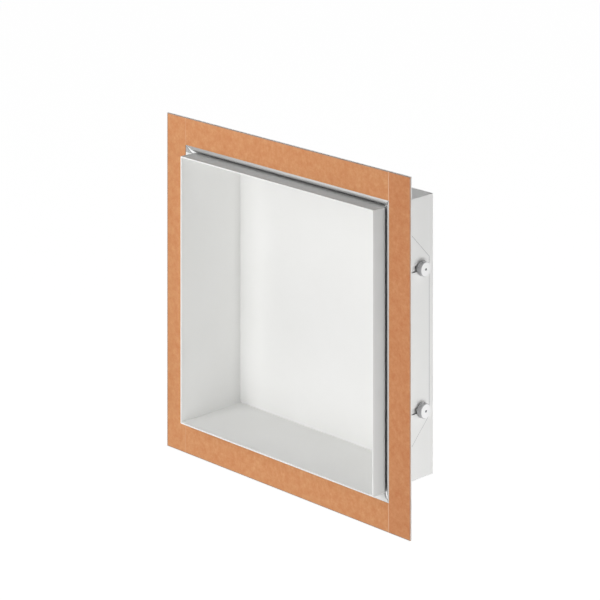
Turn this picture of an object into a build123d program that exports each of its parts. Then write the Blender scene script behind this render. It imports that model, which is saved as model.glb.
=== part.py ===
"""Shower niche insert: a steel niche box that slides in a folded flange frame, clamped by thumb nuts.

X runs to the right, Y into the wall and Z up. The origin is the centre of the flange's wall face.
"""
import os

from build123d import *

# Niche box: one box folded from sheet, with the clear space inside it
niche_width = 300.0
niche_height = 300.0
niche_depth = 92.0
niche_sheet = 1.5
niche_fold_radius = 0.8
rim_reach = 15.3

# Flange frame: one sheet, cut across its opening and folded back along the box
flange_border = 31.0
flange_sheet = 1.5
bend_radius = 8.2
slide_clearance = 0.3
flap_inset = 8.0
corner_relief = 5.0

# Sealing membrane: strips glued on the front of the border
membrane_thickness = 0.7
seam_left = 0.4
seam_right = 1.2

# Clamps: weld studs through slots in the side flaps, with washers and thumb nuts
clamp_edge_inset = 14.4
clamp_corner_inset = 9.5
slide_out = 16.0
slide_in = 4.0
stud_diameter = 6.0
stud_chamfer = 0.6
slot_clearance = 0.3
seat_clearance = 0.1
washer_diameter = 12.0
washer_thickness = 1.0
washer_clearance = 0.2

# Thumb nut: a knurled head with a plain lip, on a narrower collar, with a blind thread and a centre mark
nut_head_diameter = 16.0
nut_head_height = 6.1
nut_lip_diameter = 15.0
nut_lip_height = 0.5
nut_collar_diameter = 11.0
nut_collar_height = 1.2
nut_face_thickness = 2.2
thread_clearance = 0.08
stud_tip_clearance = 0.5
centre_mark_diameter = 2.6
centre_mark_depth = 1.0
knurl_count = 30
knurl_depth = 0.4

# Sizes that follow: the box's outside, its place in depth, and the opening that it passes through
niche_outer_width = niche_width + 2 * niche_sheet
niche_outer_height = niche_height + 2 * niche_sheet
niche_front_y = -flange_sheet - membrane_thickness - rim_reach
niche_back_y = niche_front_y + niche_depth + niche_sheet
niche_outer_fold = niche_fold_radius + niche_sheet
niche_side_x = niche_outer_width / 2
opening_width = niche_outer_width + 2 * (slide_clearance + bend_radius)
opening_height = niche_outer_height + 2 * (slide_clearance + bend_radius)
flange_width = opening_width + 2 * flange_border
flange_height = opening_height + 2 * flange_border
bend_axis_y = bend_radius - flange_sheet
flap_back_y = niche_back_y - flap_inset
flap_run = flap_back_y - bend_axis_y
corner_notch = bend_radius + corner_relief

# The clamps' places: in the back corners of the side flaps, then outwards from the side of the box
clamp_y = flap_back_y - clamp_edge_inset
clamp_z = opening_height / 2 - corner_notch - flap_run - clamp_corner_inset
clamp_heights = {"upper": clamp_z, "lower": -clamp_z}
flap_outer_x = niche_side_x + slide_clearance + flange_sheet
washer_x = flap_outer_x + seat_clearance
nut_x = washer_x + washer_thickness + seat_clearance
nut_bore_depth = nut_collar_height + nut_head_height - nut_face_thickness
stud_length = nut_x + nut_bore_depth - stud_tip_clearance - niche_side_x
slot_width = stud_diameter + 2 * slot_clearance
slot_travel = slide_out + slide_in
slot_centre_y = clamp_y + (slide_in - slide_out) / 2

os.makedirs("parts", exist_ok=True)


def save(piece, name):
    """Label a finished piece and write it as one file under its own name."""
    piece.label = name
    export_step(piece, f"parts/{name}.step")


def depth_plane(y):
    """The plane at depth y that faces the room: X to the right, Z up, extruding towards the front."""
    return Plane.XZ.offset(-y)


# Niche box: rounded folds outside, then shelled to the sheet's thickness through the open front
with BuildPart() as niche_box:
    with BuildSketch(depth_plane(niche_back_y)):
        RectangleRounded(niche_outer_width, niche_outer_height, niche_outer_fold)
    extrude(amount=niche_depth + niche_sheet)
    fillet(niche_box.faces().sort_by(Axis.Y)[-1].edges(), niche_outer_fold)
    offset(amount=-niche_sheet, openings=niche_box.faces().sort_by(Axis.Y)[0])
save(niche_box.part, "niche_box")


def folded_flap(half_opening, half_length):
    """A flap folded back on the +X side of the opening, with its bend and its cut-back ends.

    The sheet's bent section is drawn across the fold and drawn out along it. The side view then gives
    the 45 degree ends, and a notch from each corner of the opening clears the neighbouring flap.
    """
    inner_x = half_opening - bend_radius
    notch_z = half_length - corner_notch
    back_z = notch_z - flap_run
    with BuildPart() as flap:
        with BuildSketch(Plane.XY):
            with BuildLine():
                front_bend = CenterArc((half_opening, bend_axis_y), bend_radius, 270, -90)
                rear_bend = CenterArc((half_opening, bend_axis_y), bend_radius - flange_sheet, 270, -90)
                Polyline(
                    front_bend @ 1,
                    (inner_x, flap_back_y),
                    (inner_x + flange_sheet, flap_back_y),
                    rear_bend @ 1,
                )
                Line(front_bend @ 0, rear_bend @ 0)
            make_face()
        extrude(amount=half_length, both=True)
        with BuildSketch(Plane.YZ):
            with BuildLine():
                half_outline = Polyline(
                    (-flange_sheet, 0),
                    (-flange_sheet, half_length),
                    (bend_axis_y, notch_z),
                    (flap_back_y, back_z),
                    (flap_back_y, 0),
                )
                mirror(half_outline, about=Plane.XZ)
            make_face()
        extrude(amount=half_opening, mode=Mode.INTERSECT)
        with BuildSketch(depth_plane(bend_axis_y)):
            with BuildLine():
                Polyline(
                    (half_opening, half_length),
                    (inner_x, notch_z),
                    (inner_x, half_length),
                    close=True,
                )
            make_face()
            mirror(about=Plane.XZ)
        extrude(amount=bend_radius, mode=Mode.SUBTRACT)
    return flap.part


# Flange frame: the flat border, its four flaps and the slots that the studs slide in
side_flap = folded_flap(opening_width / 2, opening_height / 2)
top_flap = folded_flap(opening_height / 2, opening_width / 2).rotate(Axis.Y, -90)
with BuildPart() as flange_frame:
    with BuildSketch(depth_plane(0)):
        Rectangle(flange_width, flange_height)
        Rectangle(opening_width, opening_height, mode=Mode.SUBTRACT)
    extrude(amount=flange_sheet)
    add(side_flap)
    add(top_flap)
    mirror(side_flap, about=Plane.YZ)
    mirror(top_flap, about=Plane.XY)
    with BuildSketch(Plane.YZ):
        with Locations(*[(slot_centre_y, z) for z in clamp_heights.values()]):
            SlotCenterToCenter(slot_travel, slot_width)
    extrude(amount=flange_width, both=True, mode=Mode.SUBTRACT)
save(flange_frame.part, "flange_frame")

# Membrane: side strips of full height, and top and bottom strips fitted between them with open seams
strip_length = opening_width - seam_left - seam_right
strip_x = (seam_left - seam_right) / 2
border_x = (opening_width + flange_border) / 2
border_z = (opening_height + flange_border) / 2
strips = {
    "left": (-border_x, 0, flange_border, flange_height),
    "right": (border_x, 0, flange_border, flange_height),
    "top": (strip_x, border_z, strip_length, flange_border),
    "bottom": (strip_x, -border_z, strip_length, flange_border),
}
for side, (x, z, width, height) in strips.items():
    with BuildPart() as membrane:
        with BuildSketch(depth_plane(-flange_sheet)):
            with Locations((x, z)):
                Rectangle(width, height)
        extrude(amount=membrane_thickness)
    save(membrane.part, f"membrane_{side}")

# Weld studs: one at each clamp, standing on the sides of the box
clamp_points = [(clamp_y, z) for z in clamp_heights.values()]
with BuildPart() as clamp_studs:
    with BuildSketch(Plane.YZ.offset(niche_side_x)):
        with Locations(*clamp_points):
            Circle(stud_diameter / 2)
    extrude(amount=stud_length)
    chamfer(clamp_studs.edges().group_by(Axis.X)[-1], stud_chamfer)
    mirror(about=Plane.YZ)
save(clamp_studs.part, "clamp_studs")

# Washers: one on each stud, spanning the slot
with BuildPart() as clamp_washers:
    with BuildSketch(Plane.YZ.offset(washer_x)):
        with Locations(*clamp_points):
            Circle(washer_diameter / 2)
            Circle(stud_diameter / 2 + washer_clearance, mode=Mode.SUBTRACT)
    extrude(amount=washer_thickness)
    mirror(about=Plane.YZ)
save(clamp_washers.part, "clamp_washers")


def thumb_nut(seat):
    """A thumb nut that stands on the given plane, with its collar, knurled head, centre mark and bore."""
    head_plane = seat.offset(nut_collar_height)
    face_plane = head_plane.offset(nut_head_height)
    knurl_side = knurl_depth * 2 ** 0.5
    with BuildPart() as nut:
        with BuildSketch(seat):
            Circle(nut_collar_diameter / 2)
        extrude(amount=nut_collar_height)
        with BuildSketch(head_plane):
            Circle(nut_head_diameter / 2)
            with PolarLocations(nut_head_diameter / 2, knurl_count):
                Rectangle(knurl_side, knurl_side, rotation=45, mode=Mode.SUBTRACT)
        extrude(amount=nut_head_height - nut_lip_height)
        with BuildSketch(face_plane):
            Circle(nut_lip_diameter / 2)
        extrude(amount=-nut_lip_height)
        with BuildSketch(face_plane):
            Circle(centre_mark_diameter / 2)
        extrude(amount=-centre_mark_depth, mode=Mode.SUBTRACT)
        with BuildSketch(seat):
            Circle(stud_diameter / 2 + thread_clearance)
        extrude(amount=nut_bore_depth, mode=Mode.SUBTRACT)
    return nut.part


# Thumb nuts: one on each stud, each a piece of its own because each turns by itself
for side, outwards in (("left", -1), ("right", 1)):
    for level, z in clamp_heights.items():
        seat = Plane(origin=(outwards * nut_x, clamp_y, z), x_dir=(0, 1, 0), z_dir=(outwards, 0, 0))
        save(thumb_nut(seat), f"thumb_nut_{side}_{level}")
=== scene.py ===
"""Shower niche insert: the ground box, finishes, sealant, threads and nuts, the studio and the camera.

Places are in metres in the part's own frame: X to the right, Y into the wall, Z up. A size whose name
ends in _mm is in millimetres.
"""
import math

import bpy
import numpy as np
from mathutils import Matrix, Vector


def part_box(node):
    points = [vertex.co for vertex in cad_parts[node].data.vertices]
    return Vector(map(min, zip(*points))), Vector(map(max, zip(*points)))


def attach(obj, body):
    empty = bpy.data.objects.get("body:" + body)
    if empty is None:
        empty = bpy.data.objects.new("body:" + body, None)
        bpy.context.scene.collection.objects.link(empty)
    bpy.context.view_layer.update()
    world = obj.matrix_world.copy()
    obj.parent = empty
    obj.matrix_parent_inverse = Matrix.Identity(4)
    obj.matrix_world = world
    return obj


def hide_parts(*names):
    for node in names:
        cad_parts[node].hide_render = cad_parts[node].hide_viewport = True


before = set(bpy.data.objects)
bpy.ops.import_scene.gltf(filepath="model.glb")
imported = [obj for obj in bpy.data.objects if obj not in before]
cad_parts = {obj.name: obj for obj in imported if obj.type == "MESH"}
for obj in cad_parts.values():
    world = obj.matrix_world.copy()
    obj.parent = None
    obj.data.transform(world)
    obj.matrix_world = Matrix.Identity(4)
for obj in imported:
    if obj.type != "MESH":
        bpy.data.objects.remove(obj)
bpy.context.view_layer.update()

# Niche box: the open box that bottles stand in. Its plain rim stands in front of the flange's border.
# Steel sheet, cut, folded, welded at its corners and ground flush, then powder coated in matte white. The
# packed box is rounder at its folds than ground steel is, so the box is made here with crisp corners.
MM = 0.001
scene = bpy.context.scene
box_low, box_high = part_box("niche_box")
sheet_mm = 1.5
outer_fold_mm = 0.8
inner_fold_mm = 0.3
least_corner_mm = 0.1
cut_edge_mm = 0.15
fold_steps = 5
fold_sharp_degrees = 5
coat_white = "#efefee"
coat_shade = "#ececea"
coat_roughness = 0.6
roughness_spread = 0.05
coat_specular = 0.3
cloud_mm = 55
cloud_detail = 3.0
peel_mm = 1.8
peel_detail = 2.0
peel_height_mm = 0.012


def linear(hex_colour):
    """The linear red, green, blue and alpha of an sRGB colour written as #rrggbb, by the sRGB curve."""
    srgb = np.array([int(hex_colour[i:i + 2], 16) for i in (1, 3, 5)]) / 255
    values = np.where(srgb <= 0.04045, srgb / 12.92, ((srgb + 0.055) / 1.055) ** 2.4)
    return (*values.tolist(), 1.0)


def add_node(tree, kind, inputs=None, **settings):
    """Add one node with its settings. Each named input gets a link from a socket, or else a value."""
    node = tree.nodes.new(kind)
    for name, value in settings.items():
        setattr(node, name, value)
    for name, value in (inputs or {}).items():
        if isinstance(value, bpy.types.NodeSocket):
            tree.links.new(value, node.inputs[name])
        else:
            node.inputs[name].default_value = value
    return node


def new_material(name):
    """A new material with its node tree, its shader and its Object coordinates."""
    material = bpy.data.materials.new(name)
    material.use_nodes = True
    tree = material.node_tree
    tree.nodes.clear()
    shader = add_node(tree, "ShaderNodeBsdfPrincipled")
    add_node(tree, "ShaderNodeOutputMaterial", {"Surface": shader.outputs["BSDF"]})
    coordinates = add_node(tree, "ShaderNodeTexCoord")
    return material, tree, shader, coordinates


def pattern_scale(size_mm):
    """The texture scale, per metre, that gives a pattern whose marks are that many millimetres across."""
    return 1 / (size_mm * MM)


def powder_coat(name):
    """Matte polyester powder coat, put on as a spray and baked: an even white with a fine orange peel.

    The peel of the real coat is about 0.5 mm, too fine to show, so it is drawn coarser. The slow
    cloud is the change of film thickness, which a grey primer under it makes just visible.
    """
    material, tree, shader, coordinates = new_material(name)
    place = coordinates.outputs["Object"]
    cloud = add_node(tree, "ShaderNodeTexNoise", {
        "Vector": place, "Scale": pattern_scale(cloud_mm), "Detail": cloud_detail})
    tone = add_node(tree, "ShaderNodeMixRGB", {
        "Fac": cloud.outputs["Fac"], "Color1": linear(coat_white), "Color2": linear(coat_shade)})
    peel = add_node(tree, "ShaderNodeTexNoise", {
        "Vector": place, "Scale": pattern_scale(peel_mm), "Detail": peel_detail})
    bump = add_node(tree, "ShaderNodeBump", {
        "Height": peel.outputs["Fac"], "Strength": 1.0, "Distance": peel_height_mm * MM})
    gloss = add_node(tree, "ShaderNodeMapRange", {
        "Value": peel.outputs["Fac"], "To Min": coat_roughness - roughness_spread,
        "To Max": coat_roughness + roughness_spread})
    tree.links.new(tone.outputs["Color"], shader.inputs["Base Color"])
    tree.links.new(gloss.outputs["Result"], shader.inputs["Roughness"])
    tree.links.new(bump.outputs["Normal"], shader.inputs["Normal"])
    shader.inputs["Specular IOR Level"].default_value = coat_specular
    return material, tree, shader, coordinates, tone


def lofted_shell(rings):
    """The points and faces of a closed shell through rings of points, given as rows by columns by three.

    Each ring joins the next by four-sided faces, and the first and last close in fans on their middles.
    A ring runs right-handed about the way the rows go, so that the faces look outwards.
    """
    rows, columns, _ = rings.shape
    ring = np.arange(columns)
    following = (ring + 1) % columns
    starts = np.arange(rows - 1)[:, None] * columns
    walls = np.stack([
        starts + ring, starts + following, starts + columns + following, starts + columns + ring], axis=-1)
    last = (rows - 1) * columns
    hub = np.full(columns, rows * columns)
    first_fan = np.stack([hub, following, ring], axis=-1)
    last_fan = np.stack([hub + 1, last + ring, last + following], axis=-1)
    points = np.concatenate([rings.reshape(-1, 3), rings[[0, -1]].mean(axis=1)])
    return points, walls.reshape(-1, 4), np.concatenate([first_fan, last_fan])


def new_piece(name, shells, material, sharp_degrees):
    """One mesh object at the origin from closed shells, smooth but for edges sharper than that angle."""
    points = []
    faces = []
    for vertices, walls, fans in shells:
        first = sum(len(block) for block in points)
        points.append(vertices)
        faces += (walls + first).tolist() + (fans + first).tolist()
    mesh = bpy.data.meshes.new(name)
    mesh.from_pydata(np.concatenate(points).tolist(), [], faces)
    mesh.polygons.foreach_set("use_smooth", np.ones(len(faces), bool))
    mesh.set_sharp_from_angle(angle=math.radians(sharp_degrees))
    mesh.materials.append(material)
    piece = bpy.data.objects.new(name, mesh)
    scene.collection.objects.link(piece)
    return piece


def square_rings(halves, depths, corners):
    """Rings round squares with rounded corners, one for each half width, depth and corner radius.

    Each corner is a quarter of a circle, and the middle of the circle is on the square's diagonal.
    """
    quarter = np.linspace(0, np.pi / 2, fold_steps + 1)
    starts = np.arange(4)[:, None] * np.pi / 2
    middles = np.sqrt(2) * (halves - corners)[:, None, None] * np.exp(1j * (starts + np.pi / 4))
    arcs = corners[:, None, None] * np.exp(1j * (starts + quarter))
    points = (middles + arcs).reshape(len(halves), -1)
    return np.stack([points.real, np.broadcast_to(depths[:, None], points.shape), points.imag], axis=-1)


def open_box(half, front, back, sheet):
    """The shell of an open box: square rings from the middle of its back, out, forward, in and down again.

    Each fold at the back is a quarter of a circle too, and the cut front edge is broken on both sides.
    The outer wall runs from back to front, order 1, and the inner wall from front to back, order -1.
    """
    turn = np.linspace(0, np.pi / 2, fold_steps + 1)
    edge = cut_edge_mm * MM
    walls = []
    for radius, reach, depth, order in (
            (outer_fold_mm * MM, half, back, 1), (inner_fold_mm * MM, half - sheet, back - sheet, -1)):
        halves = reach - radius + radius * np.sin(turn)
        depths = depth - radius + radius * np.cos(turn)
        corners = least_corner_mm * MM + radius * np.sin(turn)
        fold = np.column_stack([halves, depths, corners])
        inwards = order * edge
        lip = np.array([
            (reach, front + edge, corners[-1]), (reach - inwards, front, corners[-1] - inwards)])
        walls.append(np.concatenate([fold, lip])[::order])
    return lofted_shell(square_rings(*np.concatenate(walls).T))


niche_coat, *_ = powder_coat("white_powder_coat")
ground_box = open_box(box_high.x, box_low.y, box_high.y, sheet_mm * MM)
box = new_piece("ground_niche_box", [ground_box], niche_coat, fold_sharp_degrees)
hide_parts("niche_box")
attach(box, "niche")

# Flange frame: the wall flange with its four folded flaps, one sheet of steel cut by laser and folded.
# It has the box's white powder coat, with painted shade: the top and right folds and the slot walls are
# drawn dark grey, darker towards the left along the top, and a lighter grey along the flaps' cut edges is a
# painted shadow line.
# Painted shade: the dark grey of the folds and slot walls, and the lighter grey of the shadow line by the
# flaps' cut edges.
fold_grey = "#464648"
edge_grey = "#aeaeb0"
# How far a face turns into a fold, from 0 to 1: where the painted shade is full, how much the far end of
# the top counts as turned in, and below which a face on a flap is the wall of a cut.
full_shade_turn = 0.8
far_left_shade = 0.43
cut_facing = 0.78
left_shade_ends_mm = 143
edge_shade_mm = 0.45
edge_fade_mm = 0.3
flap_ends_mm = 153.5
flap_begins_mm = 6.7
flap_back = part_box("flange_frame")[1].y
opening_half = box_high.x


def dress(node_name, material):
    """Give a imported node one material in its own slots."""
    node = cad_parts[node_name]
    node.data.materials.clear()
    node.data.materials.append(material)
    node.data.polygons.foreach_set("material_index", np.zeros(len(node.data.polygons), np.int32))


def coat_with_painted_shade(name):
    """The box's powder coat, with painted shade: dark grey in the folds, where they lie in shade.

    A face is in a fold where it looks at the middle of the opening, and the painted shade falls on those
    that look down or left. Along the top the painted shade deepens towards the left. The walls of the slots
    are painted dark grey as shade. A lighter grey along the flaps' cut edges is a painted shadow line. On a
    flap's slanting ends, the place along the fold and the depth add up to flap_ends_mm.
    """
    material, tree, shader, coordinates, tone = powder_coat(name)
    normal = coordinates.outputs["Normal"]
    facing = add_node(tree, "ShaderNodeSeparateXYZ", {"Vector": normal})
    place = add_node(tree, "ShaderNodeSeparateXYZ", {"Vector": coordinates.outputs["Object"]})

    outwards = add_node(tree, "ShaderNodeVectorMath", {
        0: normal, 1: coordinates.outputs["Object"]}, operation="DOT_PRODUCT")
    towards_upper_right = add_node(tree, "ShaderNodeVectorMath", {
        0: normal, 1: (opening_half, 0, opening_half)}, operation="DOT_PRODUCT")
    unshaded_facing = add_node(tree, "ShaderNodeMath", {
        0: outwards.outputs["Value"], 1: towards_upper_right.outputs["Value"]}, operation="MAXIMUM")
    leftward_shade = add_node(tree, "ShaderNodeMapRange", {
        "Value": place.outputs["X"], "From Min": -opening_half, "From Max": left_shade_ends_mm * MM,
        "To Min": far_left_shade * opening_half, "To Max": 0.0})
    above = add_node(tree, "ShaderNodeMath", {
        0: place.outputs["Z"], 1: opening_half}, operation="GREATER_THAN")
    leftward_shade_on_top = add_node(tree, "ShaderNodeMath", {
        0: leftward_shade.outputs["Result"], 1: above.outputs["Value"]}, operation="MULTIPLY")
    leftward_shade_facing = add_node(tree, "ShaderNodeMath", {
        0: leftward_shade_on_top.outputs["Value"], 1: facing.outputs["Y"]}, operation="MULTIPLY")
    least_lit = add_node(tree, "ShaderNodeMath", {
        0: unshaded_facing.outputs["Value"], 1: leftward_shade_facing.outputs["Value"]}, operation="MINIMUM")
    fold_shade = add_node(tree, "ShaderNodeMapRange", {
        "Value": least_lit.outputs["Value"], "From Max": -full_shade_turn * opening_half})

    on_flap = add_node(tree, "ShaderNodeMath", {
        0: place.outputs["Y"], 1: flap_begins_mm * MM}, operation="GREATER_THAN")
    on_cut = add_node(tree, "ShaderNodeMath", {
        0: outwards.outputs["Value"], 1: 0.0, 2: cut_facing * opening_half}, operation="COMPARE")
    on_slot = add_node(tree, "ShaderNodeMath", {
        0: on_cut.outputs["Value"], 1: on_flap.outputs["Value"]}, operation="MULTIPLY")

    across = add_node(tree, "ShaderNodeMath", {0: place.outputs["X"]}, operation="ABSOLUTE")
    height = add_node(tree, "ShaderNodeMath", {0: place.outputs["Z"]}, operation="ABSOLUTE")
    along_fold = add_node(tree, "ShaderNodeMath", {
        0: across.outputs["Value"], 1: height.outputs["Value"]}, operation="MINIMUM")
    towards_end = add_node(tree, "ShaderNodeMath", {
        0: along_fold.outputs["Value"], 1: place.outputs["Y"]}, operation="ADD")
    from_end = add_node(tree, "ShaderNodeMath", {
        0: flap_ends_mm * MM, 1: towards_end.outputs["Value"]}, operation="SUBTRACT")
    from_back = add_node(tree, "ShaderNodeMath", {
        0: flap_back, 1: place.outputs["Y"]}, operation="SUBTRACT")
    from_edge = add_node(tree, "ShaderNodeMath", {
        0: from_end.outputs["Value"], 1: from_back.outputs["Value"]}, operation="MINIMUM")
    edge_shade_fade = add_node(tree, "ShaderNodeMapRange", {
        "Value": from_edge.outputs["Value"], "From Min": edge_shade_mm * MM,
        "From Max": (edge_shade_mm + edge_fade_mm) * MM, "To Min": 1.0, "To Max": 0.0})
    at_edge = add_node(tree, "ShaderNodeMath", {
        0: edge_shade_fade.outputs["Result"], 1: on_flap.outputs["Value"]}, operation="MULTIPLY")

    # Painted shade: dark grey in the folds and on the slot walls, and a lighter grey shadow line along the
    # flaps' cut edges.
    colour = tone.outputs["Color"]
    for share, grey in (
            (fold_shade.outputs["Result"], fold_grey), (on_slot.outputs["Value"], fold_grey),
            (at_edge.outputs["Value"], edge_grey)):
        layer = add_node(tree, "ShaderNodeMixRGB", {"Fac": share, "Color1": colour, "Color2": linear(grey)})
        colour = layer.outputs["Color"]
    tree.links.new(colour, shader.inputs["Base Color"])
    return material


dress("flange_frame", coat_with_painted_shade("white_powder_coat_painted_shade_in_folds"))

# Sealing membrane: four strips of orange polyethylene sheet faced with fleece, which tile adhesive grips.
# They are cut to length and glued on the front of the border, and their ends meet in open seams. The right
# strip is drawn in a deeper tone, and the outer edges, trimmed with the border, are drawn grey.

# The redder and the yellower tone of each set's mottling, and the tone of its worn hollows.
roll_tones = ("#ca8456", "#d9a273", "#c58053")
deeper_strip_tones = ("#c47d51", "#d3996c", "#bf794e")
cut_edge_pale = "#d0a283"
cut_edge_facing = -0.5
trim_grey = "#8c9092"
trim_mm = 1.1
border_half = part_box("flange_frame")[1].x
blotch_mm = 7
blotch_detail = 6.0
blotch_roughness = 0.75
blotch_range = (0.3, 0.7)
nap_mm = 3.0
nap_detail = 3.0
nap_range = (0.35, 0.7)
worn_share = 0.35
fibre_length_mm = 7.0
fibre_width_mm = 1.2
fibre_detail = 2.0
fibre_directions = (8, 67, 128)
fibre_height_mm = 0.10
fibre_relief = 0.35
fleece_roughness = 0.95
fleece_specular = 0.2
fleece_sheen = 0.08


def fleece_membrane(name, red, yellow, worn):
    """Dyed polypropylene fleece on plastic sheet: matte and mottled, worn in its hollows, paler where cut.

    Real fibres are about 0.02 mm thick, far too fine to show, so they are drawn as wide strands, laid in
    a few directions with the highest on top.
    """
    material, tree, shader, coordinates = new_material(name)
    place = coordinates.outputs["Object"]
    blotch = add_node(tree, "ShaderNodeTexNoise", {
        "Vector": place, "Scale": pattern_scale(blotch_mm), "Detail": blotch_detail,
        "Roughness": blotch_roughness})
    mottle = add_node(tree, "ShaderNodeMapRange", {
        "Value": blotch.outputs["Fac"], "From Min": blotch_range[0], "From Max": blotch_range[1]})
    hue = add_node(tree, "ShaderNodeMixRGB", {
        "Fac": mottle.outputs["Result"], "Color1": linear(red), "Color2": linear(yellow)})
    nap = add_node(tree, "ShaderNodeTexNoise", {
        "Vector": place, "Scale": pattern_scale(nap_mm), "Detail": nap_detail})
    hollows = add_node(tree, "ShaderNodeMapRange", {
        "Value": nap.outputs["Fac"], "From Min": nap_range[0], "From Max": nap_range[1],
        "To Min": worn_share, "To Max": 0.0})

    spot = add_node(tree, "ShaderNodeSeparateXYZ", {"Vector": place})
    across = add_node(tree, "ShaderNodeMath", {0: spot.outputs["X"]}, operation="ABSOLUTE")
    height = add_node(tree, "ShaderNodeMath", {0: spot.outputs["Z"]}, operation="ABSOLUTE")
    reach = add_node(tree, "ShaderNodeMath", {
        0: across.outputs["Value"], 1: height.outputs["Value"]}, operation="MAXIMUM")
    at_trim = add_node(tree, "ShaderNodeMapRange", {
        "Value": reach.outputs["Value"], "From Min": border_half - trim_mm * MM, "From Max": border_half})
    facing = add_node(tree, "ShaderNodeSeparateXYZ", {"Vector": coordinates.outputs["Normal"]})
    on_edge = add_node(tree, "ShaderNodeMath", {
        0: facing.outputs["Y"], 1: cut_edge_facing}, operation="GREATER_THAN")
    colour = hue.outputs["Color"]
    for share, tone in (
            (hollows.outputs["Result"], worn), (at_trim.outputs["Result"], trim_grey),
            (on_edge.outputs["Value"], cut_edge_pale)):
        layer = add_node(tree, "ShaderNodeMixRGB", {"Fac": share, "Color1": colour, "Color2": linear(tone)})
        colour = layer.outputs["Color"]

    strands = []
    for degrees in fibre_directions:
        lay = add_node(tree, "ShaderNodeMapping", {
            "Vector": place, "Rotation": (0, math.radians(degrees), 0),
            "Scale": (pattern_scale(fibre_length_mm), 1, pattern_scale(fibre_width_mm))})
        strand = add_node(tree, "ShaderNodeTexNoise", {
            "Vector": lay.outputs["Vector"], "Scale": 1.0, "Detail": fibre_detail})
        strands.append(strand.outputs["Fac"])
    highest = strands[0]
    for strand in strands[1:]:
        upper = add_node(tree, "ShaderNodeMath", {0: highest, 1: strand}, operation="MAXIMUM")
        highest = upper.outputs["Value"]
    bump = add_node(tree, "ShaderNodeBump", {
        "Height": highest, "Strength": fibre_relief, "Distance": fibre_height_mm * MM})

    tree.links.new(colour, shader.inputs["Base Color"])
    tree.links.new(bump.outputs["Normal"], shader.inputs["Normal"])
    shader.inputs["Roughness"].default_value = fleece_roughness
    shader.inputs["Specular IOR Level"].default_value = fleece_specular
    shader.inputs["Sheen Weight"].default_value = fleece_sheen
    return material


fleece = fleece_membrane("orange_fleece_membrane", *roll_tones)
deep_fleece = fleece_membrane("orange_fleece_membrane_deep", *deeper_strip_tones)
for side, strip in (("left", fleece), ("right", deep_fleece), ("top", fleece), ("bottom", fleece)):
    dress(f"membrane_{side}", strip)
    # The real rim is a clean grey beside the strips, so they throw no orange light on it.
    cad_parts[f"membrane_{side}"].visible_diffuse = False

# Seam sealant: a bead of pale elastic sealant pressed into each of the four seams between the strips.
# It was smoothed with a wet finger, so it sinks a little between the membrane's edges.
sealant_pale = "#d9ab8a"
sealant_orange = "#d09a73"
sealant_cloud_mm = 4
sealant_roughness = 0.6
bead_sink_mm = 0.08
bead_columns = 7
bead_rows = 12
bead_sharp_degrees = 35


def elastic_sealant(name):
    """Hybrid sealant smoothed while wet: a soft dull shine, and faint clouds of orange where it is thin."""
    material, tree, shader, coordinates = new_material(name)
    cloud = add_node(tree, "ShaderNodeTexNoise", {
        "Vector": coordinates.outputs["Object"], "Scale": pattern_scale(sealant_cloud_mm),
        "Detail": cloud_detail})
    tone = add_node(tree, "ShaderNodeMixRGB", {
        "Fac": cloud.outputs["Fac"], "Color1": linear(sealant_pale), "Color2": linear(sealant_orange)})
    tree.links.new(tone.outputs["Color"], shader.inputs["Base Color"])
    shader.inputs["Roughness"].default_value = sealant_roughness
    return material


def bead(left, right, low, high):
    """The shell of a straight bead that fills a seam: its front sinks as a parabola from edge to edge."""
    across = np.linspace(0, 1, bead_columns)
    sunk = low.y + bead_sink_mm * MM * 4 * across * (1 - across)
    x = np.concatenate([left + (right - left) * across, [right, left]])
    y = np.concatenate([sunk, [high.y, high.y]])
    z = np.linspace(low.z, high.z, bead_rows)[:, None]
    return lofted_shell(np.stack(np.broadcast_arrays(x, y, z), axis=-1))


left_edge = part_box("membrane_left")[1].x
right_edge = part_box("membrane_right")[0].x
beads = []
for side in ("top", "bottom"):
    low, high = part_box(f"membrane_{side}")
    beads += [bead(left_edge, low.x, low, high), bead(high.x, right_edge, low, high)]
seams = new_piece("seam_sealant", beads, elastic_sealant("pale_elastic_seam_sealant"), bead_sharp_degrees)
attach(seams, "flange")

# Weld studs: four M6 studs shot onto the sides of the box, one in each slot of the side flaps.
# Steel with a rolled thread and bright zinc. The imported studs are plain, so the thread is made here.
stud_major_mm = 6.0
stud_pitch_mm = 1.0
stud_thread_depth_mm = 0.61
stud_tip_mm = 0.6
stud_rows = 92
stud_columns = 40
stud_sharp_degrees = 35
# The flat crest and the flank of the thread, as shares of half a pitch.
crest_share = 0.125
flank_share = 0.625
zinc_bright = "#c9cacb"
zinc_dull = "#a9abad"
zinc_cloud_mm = 3
zinc_roughness = (0.3, 0.45)
clamps = ("left_upper", "left_lower", "right_upper", "right_lower")
stud_base = box_high.x
stud_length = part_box("clamp_studs")[1].x - stud_base


def clamp_place(clamp, base_x):
    """The point on a clamp's axis at that distance from the middle, and its outward direction along X."""
    low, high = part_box(f"thumb_nut_{clamp}")
    outwards = 1 if clamp.startswith("right") else -1
    return (outwards * base_x, (low.y + high.y) / 2, (low.z + high.z) / 2), outwards


def round_shell(centre, outwards, along, radius, angle):
    """A closed shell about an axis through centre along X, from grids of distance, radius and angle.

    The axis points outwards and the angle turns right-handed about it, so a thread keeps its hand on
    both sides of the box.
    """
    return lofted_shell(np.stack([
        centre[0] + outwards * along,
        centre[1] + outwards * radius * np.cos(angle),
        centre[2] + radius * np.sin(angle),
    ], axis=-1))


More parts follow.
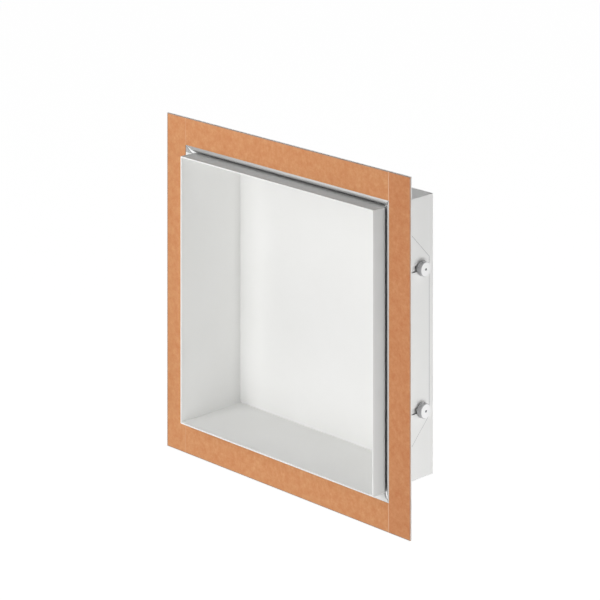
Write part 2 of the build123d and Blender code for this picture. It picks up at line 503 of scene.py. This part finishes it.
def rolled_thread(length):
    """Grids of distance, radius and angle for a threaded stud, which climbs one pitch in each turn.

    Within a pitch the radius falls from a flat crest, down a straight flank, to a flat root, and rises
    again. At the tip it is cut down by a cone.
    """
    along, angle = np.meshgrid(
        np.linspace(0, length, stud_rows),
        np.linspace(0, 2 * np.pi, stud_columns, endpoint=False), indexing="ij")
    turns = along / (stud_pitch_mm * MM) - angle / (2 * np.pi)
    from_crest = np.abs(2 * (turns % 1) - 1)
    depth = stud_thread_depth_mm * MM * np.clip((from_crest - crest_share) / flank_share, 0, 1)
    tip_depth = np.clip(along - length + stud_tip_mm * MM, 0, None)
    return along, stud_major_mm / 2 * MM - np.maximum(depth, tip_depth), angle


def zinc_plate(name):
    """Bright zinc plate on steel: a pale metal with soft reflections and a slightly clouded passivation."""
    material, tree, shader, coordinates = new_material(name)
    cloud = add_node(tree, "ShaderNodeTexNoise", {
        "Vector": coordinates.outputs["Object"], "Scale": pattern_scale(zinc_cloud_mm),
        "Detail": cloud_detail})
    tone = add_node(tree, "ShaderNodeMixRGB", {
        "Fac": cloud.outputs["Fac"], "Color1": linear(zinc_bright), "Color2": linear(zinc_dull)})
    gloss = add_node(tree, "ShaderNodeMapRange", {
        "Value": cloud.outputs["Fac"], "To Min": zinc_roughness[0], "To Max": zinc_roughness[1]})
    tree.links.new(tone.outputs["Color"], shader.inputs["Base Color"])
    tree.links.new(gloss.outputs["Result"], shader.inputs["Roughness"])
    shader.inputs["Metallic"].default_value = 1.0
    return material


studs = new_piece("threaded_studs", [
    round_shell(*clamp_place(clamp, stud_base), *rolled_thread(stud_length)) for clamp in clamps
], zinc_plate("bright_zinc_on_rolled_thread"), stud_sharp_degrees)
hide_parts("clamp_studs")
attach(studs, "niche")

# Washers: one flat washer on each stud, wider than the slot, so that the nut can clamp the flap.
# Steel, stamped from sheet and plated with bright zinc, and held on the stud by the nut alone.
dress("clamp_washers", zinc_plate("bright_zinc_on_stamped_steel"))

# Thumb nuts: four knurled nuts, turned from bar, which clamp the box in the flange by hand.
# A collar bears on the washer, the head has straight grooves for the fingers, and the face has a small
# centre mark. Steel with a dull satin plate, pale on the face, with painted shade: the knurl and the centre
# mark are drawn darker grey.

# The diameter and the length, or the depth, of each step of the nut.
collar_mm = (11.0, 1.2)
head_mm = (16.0, 5.6)
lip_mm = (15.0, 0.5)
mark_mm = (2.6, 1.0)
bore_mm = (6.16, 5.1)
# The outline's ends stop at a small ring about the axis, where the shell closes.
hub_mm = 1.0
groove_count = 30
groove_depth_mm = 0.4
# Where the points of one groove and the land beside it stand, as shares of the way to the next groove.
groove_columns = (0.0, 0.119, 0.239, 0.41, 0.59, 0.761, 0.881)
edge_break_mm = 0.15
nut_sharp_degrees = 35
face_light = "#efefef"
face_grey = "#e4e4e4"
# Painted shade: the greys of the knurl and the centre mark.
knurl_grey = "#c0c0c2"
mark_grey = "#8c8c8f"
face_roughness = 0.45
steel_share = 0.2
turning_mm = 0.9
turning_distortion = 0.6
turning_detail = 1.0
wave_unit = 2 * math.pi / 20
nut_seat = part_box("thumb_nut_right_upper")[0].x


def eased(corners, size):
    """A profile whose inner corners are each cut back by size on both sides, as a broken edge."""
    corners = np.array(corners)
    before = corners[:-2] - corners[1:-1]
    after = corners[2:] - corners[1:-1]
    step_in = before / np.linalg.norm(before, axis=1)[:, None] * size
    step_out = after / np.linalg.norm(after, axis=1)[:, None] * size
    pairs = np.stack([corners[1:-1] + step_in, corners[1:-1] + step_out], axis=1).reshape(-1, 2)
    return np.concatenate([corners[:1], pairs, corners[-1:]])


def knurled_nut():
    """Grids of distance, radius and angle for a nut: an outline turned about its axis.

    The outline runs from the bottom of the bore, out round the collar and the head, and in to the bottom
    of the centre mark. Each groove of the head is a straight V with sides at 45 degrees.
    """
    head_end = collar_mm[1] + head_mm[1]
    face_at = head_end + lip_mm[1]
    mark_at = face_at - mark_mm[1]
    hub, bore, collar, head, lip, mark = (
        size / 2 for size in (hub_mm, bore_mm[0], collar_mm[0], head_mm[0], lip_mm[0], mark_mm[0]))
    outline = eased([
        (bore_mm[1], hub), (bore_mm[1], bore), (0.0, bore), (0.0, collar), (collar_mm[1], collar),
        (collar_mm[1], head), (head_end, head), (head_end, lip), (face_at, lip), (face_at, mark),
        (mark_at, mark), (mark_at, hub),
    ], edge_break_mm)
    step = 2 * np.pi / groove_count
    turn = (np.arange(groove_count)[:, None] + np.array(groove_columns)).ravel() * step
    from_groove = np.abs((turn / step + 0.5) % 1 - 0.5) * step * head
    groove = np.clip(groove_depth_mm - from_groove, 0, None)
    on_head = outline[:, 1] > lip + edge_break_mm
    radius = (outline[:, 1, None] - np.outer(on_head, groove)) * MM
    return np.broadcast_arrays(outline[:, 0, None] * MM, radius, turn)


def satin_plate(name, centre):
    """Dull satin plate on turned steel: a pale face with faint tool rings, and a knurl painted darker grey
    as shade.

    The knurl's painted shade begins where the distance from the axis passes the lip, and the centre mark is
    painted grey as shade inside its edge. The real rings on the face are about 0.1 mm apart, too fine to
    show, so they are drawn wider. A wave texture repeats every wave_unit of its scaled coordinate.
    """
    material, tree, shader, coordinates = new_material(name)
    on_axis = add_node(tree, "ShaderNodeMapping", {
        "Vector": coordinates.outputs["Object"], "Location": tuple(-value for value in centre)})
    rings = add_node(tree, "ShaderNodeTexWave", {
        "Vector": on_axis.outputs["Vector"], "Scale": wave_unit * pattern_scale(turning_mm),
        "Distortion": turning_distortion, "Detail": turning_detail},
        wave_type="RINGS", rings_direction="X")
    face = add_node(tree, "ShaderNodeMixRGB", {
        "Fac": rings.outputs["Fac"], "Color1": linear(face_grey), "Color2": linear(face_light)})
    flat = add_node(tree, "ShaderNodeVectorMath", {
        0: on_axis.outputs["Vector"], 1: (0, 1, 1)}, operation="MULTIPLY")
    reach = add_node(tree, "ShaderNodeVectorMath", {0: flat.outputs["Vector"]}, operation="LENGTH")
    on_knurl = add_node(tree, "ShaderNodeMapRange", {
        "Value": reach.outputs["Value"], "From Min": (lip_mm[0] / 2 - edge_break_mm) * MM,
        "From Max": lip_mm[0] / 2 * MM})
    in_mark = add_node(tree, "ShaderNodeMath", {
        0: reach.outputs["Value"], 1: mark_mm[0] / 2 * MM}, operation="LESS_THAN")
    # Painted shade: the knurl and the centre mark are drawn darker grey than the face.
    outside = add_node(tree, "ShaderNodeMixRGB", {
        "Fac": on_knurl.outputs["Result"], "Color1": face.outputs["Color"], "Color2": linear(knurl_grey)})
    tone = add_node(tree, "ShaderNodeMixRGB", {
        "Fac": in_mark.outputs["Value"], "Color1": outside.outputs["Color"], "Color2": linear(mark_grey)})
    gloss = add_node(tree, "ShaderNodeMapRange", {
        "Value": rings.outputs["Fac"], "To Min": face_roughness - roughness_spread,
        "To Max": face_roughness + roughness_spread})
    tree.links.new(tone.outputs["Color"], shader.inputs["Base Color"])
    tree.links.new(gloss.outputs["Result"], shader.inputs["Roughness"])
    shader.inputs["Metallic"].default_value = steel_share
    return material


for clamp in clamps:
    centre, outwards = clamp_place(clamp, nut_seat)
    plate = satin_plate(f"satin_plate_on_turned_steel_{clamp}", centre)
    nut_shell = round_shell(centre, outwards, *knurled_nut())
    nut = new_piece(f"turned_nut_{clamp}", [nut_shell], plate, nut_sharp_degrees)
    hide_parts(f"thumb_nut_{clamp}")
    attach(nut, f"nut_{clamp}")

# Studio: a pale floor well below the niche, as under a niche at its height in a wall, and a white surround
# that only the camera and the metal see. Soft boxes light it from the front, a little to the left, from
# behind, and from the right, where narrow ones shine past the border and leave the groove by the rim dark.
floor_drop = 1.2
floor_half = 12.0
floor_white = "#f2f2f0"
floor_glow = "#fefefe"
# Azimuth from the front to the right and elevation in degrees, distance, width and height in metres, watts.
soft_boxes = {
    "front_left": (-14, 19, 0.95, 0.5, 1.3, 5.15),
    "front_right": (3, -11, 0.95, 0.4, 1.0, 3.8),
    "left": (-55, 0, 0.95, 0.6, 1.2, 2.1),
    "right_strip": (74, -8, 1.5, 0.12, 1.0, 6.4),
    "right_grazing": (83, -8, 1.5, 0.2, 1.0, 1.1),
    "right_low": (94, -18, 1.2, 0.35, 0.35, 0.6),
    "right_rear": (108, -10, 0.95, 0.6, 1.0, 2.8),
    "overhead": (-40, 82, 0.95, 0.6, 0.6, 1.05),
    "rear": (190, 17, 1.2, 1.0, 1.2, 7.5),
    "rear_left": (250, -4, 1.2, 0.6, 1.2, 7.0),
}


def seen_directly(tree):
    """One for rays from the camera and for those that metal or glass sends on, else zero."""
    path = add_node(tree, "ShaderNodeLightPath")
    either = add_node(tree, "ShaderNodeMath", {
        0: path.outputs["Is Camera Ray"], 1: path.outputs["Is Glossy Ray"]}, operation="MAXIMUM")
    any_of_them = add_node(tree, "ShaderNodeMath", {
        0: either.outputs["Value"], 1: path.outputs["Is Transmission Ray"]}, operation="MAXIMUM")
    return any_of_them.outputs["Value"]


scene.view_settings.view_transform = "Standard"
# Matte floor paint takes the niche's shadow, and its glow brings it to the pale tone of the surround.
floor_paint = bpy.data.materials.new("pale_matte_floor_paint")
floor_paint.use_nodes = True
tree = floor_paint.node_tree
tree.nodes.clear()
matte = add_node(tree, "ShaderNodeBsdfDiffuse", {"Color": linear(floor_white)})
glow = add_node(tree, "ShaderNodeEmission", {"Color": linear(floor_glow), "Strength": seen_directly(tree)})
both = add_node(tree, "ShaderNodeAddShader", {0: matte.outputs["BSDF"], 1: glow.outputs["Emission"]})
add_node(tree, "ShaderNodeOutputMaterial", {"Surface": both.outputs["Shader"]})

floor_corners = np.array([(-1, -1), (1, -1), (1, 1), (-1, 1)]) * floor_half
floor_points = np.column_stack([floor_corners, np.full(4, -floor_drop)])
floor_mesh = bpy.data.meshes.new("floor")
floor_mesh.from_pydata(floor_points.tolist(), [], [(0, 1, 2, 3)])
floor_mesh.materials.append(floor_paint)
floor = bpy.data.objects.new("floor", floor_mesh)
scene.collection.objects.link(floor)

surround = bpy.data.worlds.new("white_surround")
scene.world = surround
surround.use_nodes = True
tree = surround.node_tree
tree.nodes.clear()
sky = add_node(tree, "ShaderNodeBackground", {"Color": (1, 1, 1, 1), "Strength": seen_directly(tree)})
add_node(tree, "ShaderNodeOutputWorld", {"Surface": sky.outputs["Background"]})

for name, (azimuth, elevation, distance, width, height, power) in soft_boxes.items():
    around = math.radians(azimuth)
    above = math.radians(elevation)
    towards = Vector((
        math.sin(around) * math.cos(above), -math.cos(around) * math.cos(above), math.sin(above)))
    lamp = bpy.data.lights.new(f"soft_box_{name}", "AREA")
    lamp.shape = "ELLIPSE"
    lamp.size = width
    lamp.size_y = height
    lamp.energy = power
    soft_box = bpy.data.objects.new(f"soft_box_{name}", lamp)
    soft_box.location = distance * towards
    soft_box.rotation_euler = towards.to_track_quat("Z", "Y").to_euler()
    soft_box.visible_camera = False
    scene.collection.objects.link(soft_box)

# Camera: at the photograph's angle, 45 degrees to the right and above, with level lines of sight as a
# shift lens gives them, so that upright edges stay upright. A rig carries the shear of that lens.
view_azimuth = 45.431
frame_pixels = 600
focal_pixels = 2777.5
horizon_row = -579.9
camera_place = Vector((2.18618, -2.13010, 0.98561))
sensor_mm = 36

turned = math.radians(view_azimuth)
to_right = Vector((math.cos(turned), math.sin(turned), 0))
ahead = Vector((-math.sin(turned), math.cos(turned), 0))
upwards = Vector((0, 0, 1))
fall = (frame_pixels / 2 - horizon_row) / focal_pixels
backwards = fall * upwards - ahead
stretch = backwards.length
axes = Matrix((to_right, upwards, backwards / stretch)).transposed().to_4x4()
lens = bpy.data.cameras.new("camera")
lens.sensor_width = sensor_mm
lens.lens = focal_pixels * stretch / frame_pixels * sensor_mm
camera = bpy.data.objects.new("camera", lens)
rig = bpy.data.objects.new("camera_rig", None)
for thing in (rig, camera):
    scene.collection.objects.link(thing)
camera.parent = rig
camera.matrix_parent_inverse = Matrix.Translation(camera_place) @ axes
scene.camera = camera
